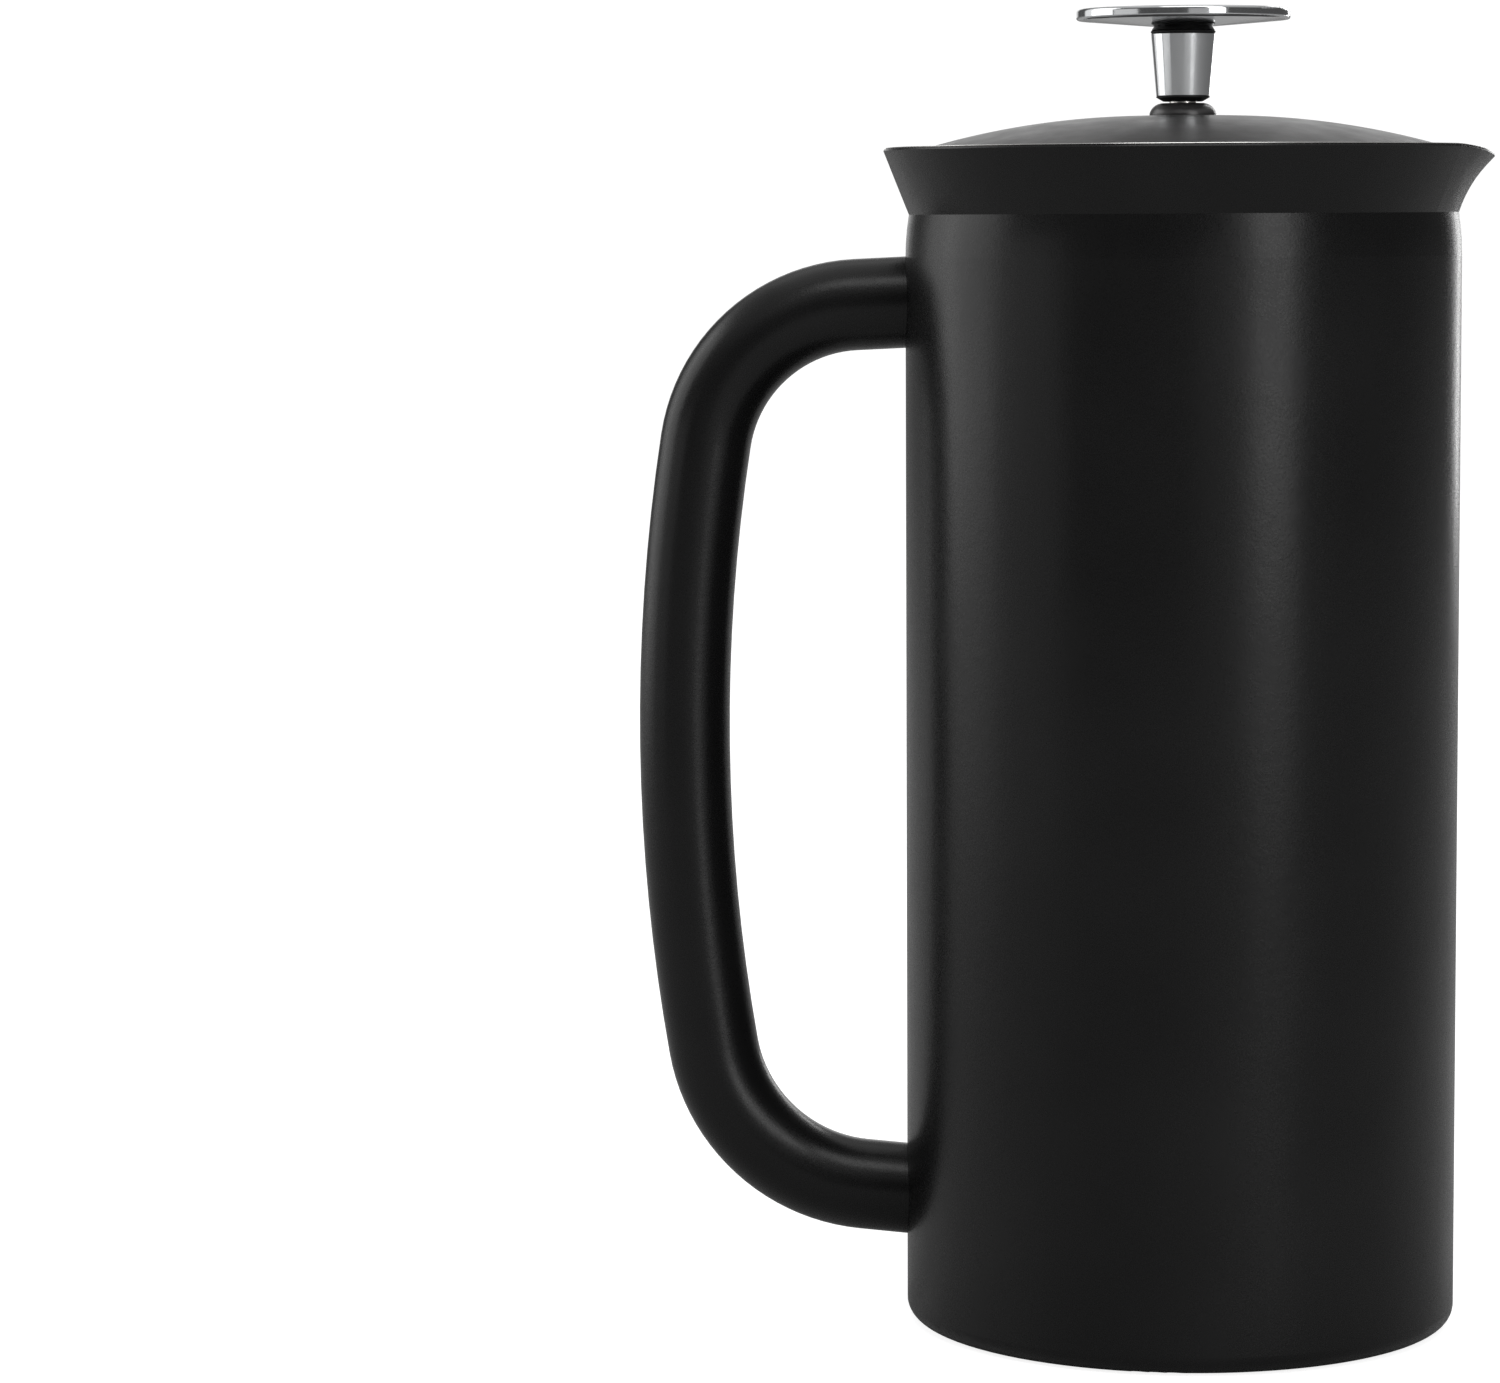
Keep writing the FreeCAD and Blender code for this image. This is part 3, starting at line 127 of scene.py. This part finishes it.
def powder_coat(name, base, spec=0.5, rough=(0.24, 0.32)):
    """Fine-grained matte powder coat with a faint orange peel and handling marks."""
    m = Mat(name)
    m.put("IOR", 1.5)
    m.put("Specular IOR Level", spec)
    cloud = m.noise(18.0, 3.0)
    smear = m.noise(70.0, 4.0, 0.6, stretch=(1.0, 1.0, 0.35))
    lift = tuple(min(1.0, c * 1.7 + 0.002) for c in base)
    m.to(m.mix(m.ramp(cloud, 0.35, 0.7), base, lift), "Base Color")
    both = m.math("ADD", m.ramp(smear, 0.3, 0.75, rough[0], rough[1]), m.ramp(m.noise(2600.0, 1.0), 0.3, 0.7, -0.03, 0.03))
    m.to(both, "Roughness")
    grain = m.noise(2100.0, 2.0, 0.55)
    peel = m.noise(420.0, 2.0, 0.5)
    n1 = m.bump(peel, 0.00006, 0.35)
    m.to(m.bump(grain, 0.00003, 0.5, n1), "Normal")
    return m.m


def plastic(name, base, rough=(0.38, 0.5), grain=1600.0, depth=0.00003, spec=0.5):
    m = Mat(name)
    m.put("IOR", 1.5)
    m.put("Specular IOR Level", spec)
    cloud = m.noise(35.0, 3.0)
    lift = tuple(c * 1.35 + 0.002 for c in base)
    m.to(m.mix(m.ramp(cloud, 0.35, 0.7), base, lift), "Base Color")
    m.to(m.ramp(m.noise(160.0, 4.0, 0.6), 0.3, 0.75, rough[0], rough[1]), "Roughness")
    m.to(m.bump(m.noise(grain, 2.0, 0.6), depth, 0.6), "Normal")
    return m.m


def metal(name, base, rough, lines, stretch, depth=0.00002, spread=0.06, aniso=0.0):
    """Steel with fine grinding lines; stretch sets which way they run."""
    m = Mat(name)
    m.put("Metallic", 1.0)
    if aniso:
        m.put("Anisotropic", aniso)
    fine = m.noise(lines, 2.0, 0.6, stretch=stretch)
    coarse = m.noise(lines * 0.12, 3.0, 0.6, stretch=stretch)
    dark = tuple(c * 0.86 for c in base)
    m.to(m.mix(m.ramp(coarse, 0.3, 0.7), dark, base), "Base Color")
    m.to(m.math("ADD", m.ramp(fine, 0.3, 0.7, rough - spread, rough + spread), m.ramp(m.noise(45.0, 3.0), 0.35, 0.75, -0.02, 0.05)), "Roughness")
    m.to(m.bump(fine, depth, 0.5), "Normal")
    return m.m


def rubber(name, base, rough=0.7):
    m = Mat(name)
    m.put("Specular IOR Level", 0.35)
    m.to(m.mix(m.ramp(m.noise(60.0, 3.0), 0.35, 0.7), base, tuple(c * 1.6 + 0.003 for c in base)), "Base Color")
    m.to(m.ramp(m.noise(300.0, 3.0), 0.3, 0.7, rough - 0.08, rough + 0.08), "Roughness")
    m.to(m.bump(m.noise(1300.0, 2.0), 0.00003, 0.5), "Normal")
    return m.m


def silicone(name):
    m = Mat(name)
    m.put("IOR", 1.41)
    m.put("Transmission Weight", 0.45)
    m.put("Subsurface Weight", 0.35)
    m.put("Subsurface Radius", (0.004, 0.005, 0.006))
    m.put("Subsurface Scale", 1.0)
    m.to(m.mix(m.ramp(m.noise(50.0, 3.0), 0.35, 0.7), (0.70, 0.77, 0.85), (0.80, 0.85, 0.90)), "Base Color")
    m.to(m.ramp(m.noise(220.0, 3.0), 0.3, 0.7, 0.28, 0.42), "Roughness")
    m.to(m.bump(m.noise(900.0, 2.0), 0.00002, 0.4), "Normal")
    return m.m


def weave(name, wall, pitch=0.00042):
    """Woven mesh: round threads over and under, open between them. wall: a round wall, else a flat floor."""
    m = Mat(name)
    sep = m.n("ShaderNodeSeparateXYZ")
    m.link(m.coord, sep.inputs[0])
    x, y, z = sep.outputs
    k = math.pi / pitch
    if wall:
        u = m.math("MULTIPLY", m.math("ARCTAN2", y, x), 0.0363 * k)
        v = m.math("MULTIPLY", z, k)
    else:
        u = m.math("MULTIPLY", x, k)
        v = m.math("MULTIPLY", y, k)
    su, sv = m.math("SINE", u), m.math("SINE", v)
    au, av = m.math("ABSOLUTE", su), m.math("ABSOLUTE", sv)
    thread = m.math("MAXIMUM", au, av)
    over = m.math("MULTIPLY", m.math("COSINE", u), m.math("COSINE", v))
    height = m.math("ADD", m.math("MULTIPLY", over, 0.25), thread)
    solid = m.ramp(thread, 0.50, 0.62, 0.18, 1.0, True)
    m.to(solid, "Alpha")
    m.put("Specular IOR Level", 0.5)
    grime = m.noise(40.0, 4.0, 0.6)
    m.to(m.mix(m.ramp(grime, 0.35, 0.7), (0.42, 0.42, 0.42), (0.60, 0.60, 0.60)), "Base Color")
    m.to(m.ramp(grime, 0.3, 0.7, 0.38, 0.55), "Roughness")
    m.to(m.bump(height, 0.00008, 0.6), "Normal")
    return m.m


MATS = {
    "shell_paint": powder_coat("powder_coat_body", (0.0035, 0.0035, 0.0036), 0.26),
    "handle_paint": powder_coat("powder_coat_handle", (0.0035, 0.0035, 0.0036), 0.26),
    "liner_steel": metal("liner_steel", (0.62, 0.615, 0.60), 0.27, 900.0, (0.02, 0.02, 1.2), 0.000003, 0.03),
    "base_steel": metal("base_steel", (0.52, 0.52, 0.51), 0.34, 700.0, (0.05, 1.6, 0.05)),
    "lid_plastic": plastic("lid_plastic", (0.021, 0.020, 0.020), (0.30, 0.40), 1600.0, 0.00003, 0.75),
    "skirt_plastic": plastic("skirt_plastic", (0.022, 0.022, 0.024), (0.42, 0.55)),
    "baffle_plastic": plastic("baffle_plastic", (0.006, 0.006, 0.0065), (0.10, 0.18), 500.0, 0.00001),
    "lid_silicone": rubber("lid_silicone", (0.02, 0.02, 0.022), 0.6),
    "wiper_silicone": silicone("wiper_silicone"),
    "filter_plastic": plastic("filter_plastic", (0.010, 0.010, 0.0105), (0.45, 0.58)),
    "filter_mesh": weave("filter_mesh_wall", True),
    "rod_steel": metal("rod_steel", (0.60, 0.585, 0.56), 0.26, 420.0, (1.0, 1.0, 0.01), 0.0000002, 0.015),
    "knob_chrome": metal("knob_chrome", (0.66, 0.67, 0.68), 0.11, 800.0, (1.0, 1.0, 0.3), 0.000002, 0.03),
    "bumper_rubber": rubber("bumper_rubber", (0.008, 0.008, 0.008), 0.6),
}
floor_weave = weave("filter_mesh_floor", False)
MATS["collar_plastic"] = plastic("collar_plastic", (0.006, 0.006, 0.0065), (0.18, 0.28), 700.0, 0.00001)
slot_of = {s["node"]: s["material_slot"] for s in frame["record"]["subparts"]}
for node, obj in NODES.items():
    mat = MATS[slot_of[node]]
    if node.endswith("floor_mesh"):
        mat = floor_weave
    obj.data.materials.clear()
    obj.data.materials.append(mat)
    obj.data.shade_smooth()

# ------------------------------------------------------------------ stage
bpy.ops.mesh.primitive_plane_add(size=1.0, location=(0, 0, -0.0002))
floor = bpy.context.object
floor.name = "floor"
floor.scale = (40.0, 40.0, 1.0)
fm = Mat("floor_paint")
fm.put("Specular IOR Level", 0.1)
fm.to(fm.ramp(fm.noise(8.0, 3.0), 0.3, 0.7, 0.85, 0.95), "Roughness")
fm.to(fm.mix(fm.ramp(fm.noise(3.0, 3.0), 0.3, 0.7), (0.45, 0.45, 0.45), (0.47, 0.47, 0.47)), "Base Color")
fm.put("Emission Color", (1.0, 1.0, 1.0, 1.0))
fm.to(fm.math("MULTIPLY", fm.n("ShaderNodeLightPath").outputs["Is Camera Ray"], 0.86), "Emission Strength")
# from below, the floor is open, so the foot can be seen
fm.to(fm.math("SUBTRACT", 1.0, fm.n("ShaderNodeNewGeometry").outputs["Backfacing"]), "Alpha")
floor.data.materials.append(fm.m)

# a white studio wall behind, a pale ceiling, darker in front
world = bpy.data.worlds.new("studio")
scene.world = world
world.use_nodes = True
wt = world.node_tree
wt.nodes.clear()
w_out = wt.nodes.new("ShaderNodeOutputWorld")
w_bg = wt.nodes.new("ShaderNodeBackground")
w_tc = wt.nodes.new("ShaderNodeTexCoord")
w_dot = wt.nodes.new("ShaderNodeVectorMath")
w_dot.operation = "DOT_PRODUCT"
w_dot.inputs[1].default_value = (0.02, 1.0, 0.0)
w_mr = wt.nodes.new("ShaderNodeMapRange")
w_mr.interpolation_type = "SMOOTHSTEP"
w_mr.inputs["From Min"].default_value = 0.87
w_mr.inputs["From Max"].default_value = 0.966
w_mr.inputs["To Min"].default_value = 0.10
w_mr.inputs["To Max"].default_value = 1.05
wt.links.new(w_tc.outputs["Generated"], w_dot.inputs[0])
wt.links.new(w_dot.outputs["Value"], w_mr.inputs["Value"])
w_sep = wt.nodes.new("ShaderNodeSeparateXYZ")
wt.links.new(w_tc.outputs["Generated"], w_sep.inputs[0])
w_up = wt.nodes.new("ShaderNodeMapRange")
w_up.interpolation_type = "SMOOTHSTEP"
w_up.inputs["From Min"].default_value = 0.22
w_up.inputs["From Max"].default_value = 0.65
w_up.inputs["To Min"].default_value = 0.0
w_up.inputs["To Max"].default_value = 0.50
wt.links.new(w_sep.outputs["Z"], w_up.inputs["Value"])
w_max = wt.nodes.new("ShaderNodeMath")
w_max.operation = "MAXIMUM"
wt.links.new(w_mr.outputs[0], w_max.inputs[0])
wt.links.new(w_up.outputs[0], w_max.inputs[1])
# the plain white backdrop, the same from every side
w_path = wt.nodes.new("ShaderNodeLightPath")
w_cam = wt.nodes.new("ShaderNodeMath")
w_cam.operation = "MAXIMUM"
wt.links.new(w_max.outputs[0], w_cam.inputs[0])
wt.links.new(w_path.outputs["Is Camera Ray"], w_cam.inputs[1])
wt.links.new(w_cam.outputs[0], w_bg.inputs["Strength"])
w_bg.inputs["Color"].default_value = (1, 1, 1, 1)
wt.links.new(w_bg.outputs[0], w_out.inputs[0])


def area(name, loc, target, size, power, size_y=None):
    light = bpy.data.lights.new(name, "AREA")
    light.shape = "RECTANGLE"
    light.size = size
    light.size_y = size_y or size
    light.energy = power
    o = bpy.data.objects.new(name, light)
    o.location = loc
    o.rotation_mode = "QUATERNION"
    o.rotation_quaternion = (Vector(target) - Vector(loc)).to_track_quat("-Z", "Y")
    o.visible_camera = False
    scene.collection.objects.link(o)
    return o


def polar(az, dist, z):
    """A place at an angle from the camera's side, positive to the right."""
    r = math.radians(az)
    return (math.sin(r) * dist, -math.cos(r) * dist, z)


area("overhead", (0.0, 0.6, 2.4), (0, 0.25, 0.0), 2.6, 8.0)
area("left_box", polar(-98.0, 1.9, 0.65), (0, 0, 0.13), 1.2, 13.0, 1.8)
area("right_front_box", polar(37.0, 2.2, 0.75), (0, 0, 0.13), 0.7, 19.0, 2.2)
area("right_back_strip", polar(157.0, 2.3, 0.7), (0, 0, 0.13), 0.28, 8.0, 2.0)
area("left_back_panel", polar(-121.0, 2.0, 0.75), (0, 0, 0.15), 0.7, 3.4, 1.5)
area("left_low_panel", polar(-64.0, 1.6, 0.24), (0, 0, 0.22), 0.85, 0.75, 0.42)
area("front_low_panel", polar(22.0, 1.7, 0.24), (0, 0, 0.22), 1.0, 0.5, 0.42)
area("front_top", (0.1, -1.0, 1.9), (0, 0, 0.2), 1.5, 9.0, 0.7)

# ------------------------------------------------------------------ camera
F_PX, W_PX, H_PX = 4901.0, 1500.0, 1383.0
cam_data = bpy.data.cameras.new("camera")
cam_data.sensor_fit = "HORIZONTAL"
cam_data.sensor_width = 36.0
cam_data.lens = 36.0 * F_PX / W_PX
cam = bpy.data.objects.new("camera", cam_data)
scene.collection.objects.link(cam)
YAW = math.atan((1183.0 - W_PX / 2) / F_PX)
PITCH = math.radians(5.59)
ROLL = math.radians(-0.3)
cam.location = (0.0, -0.9365, 0.2127)
look = Vector((-math.sin(YAW) * math.cos(PITCH), math.cos(YAW) * math.cos(PITCH), -math.sin(PITCH)))
q = look.to_track_quat("-Z", "Y")
cam.rotation_mode = "QUATERNION"
cam.rotation_quaternion = q @ Matrix.Rotation(ROLL, 4, "Z").to_quaternion()
cam_data.clip_start = 0.01
cam_data.clip_end = 100.0
scene.camera = cam
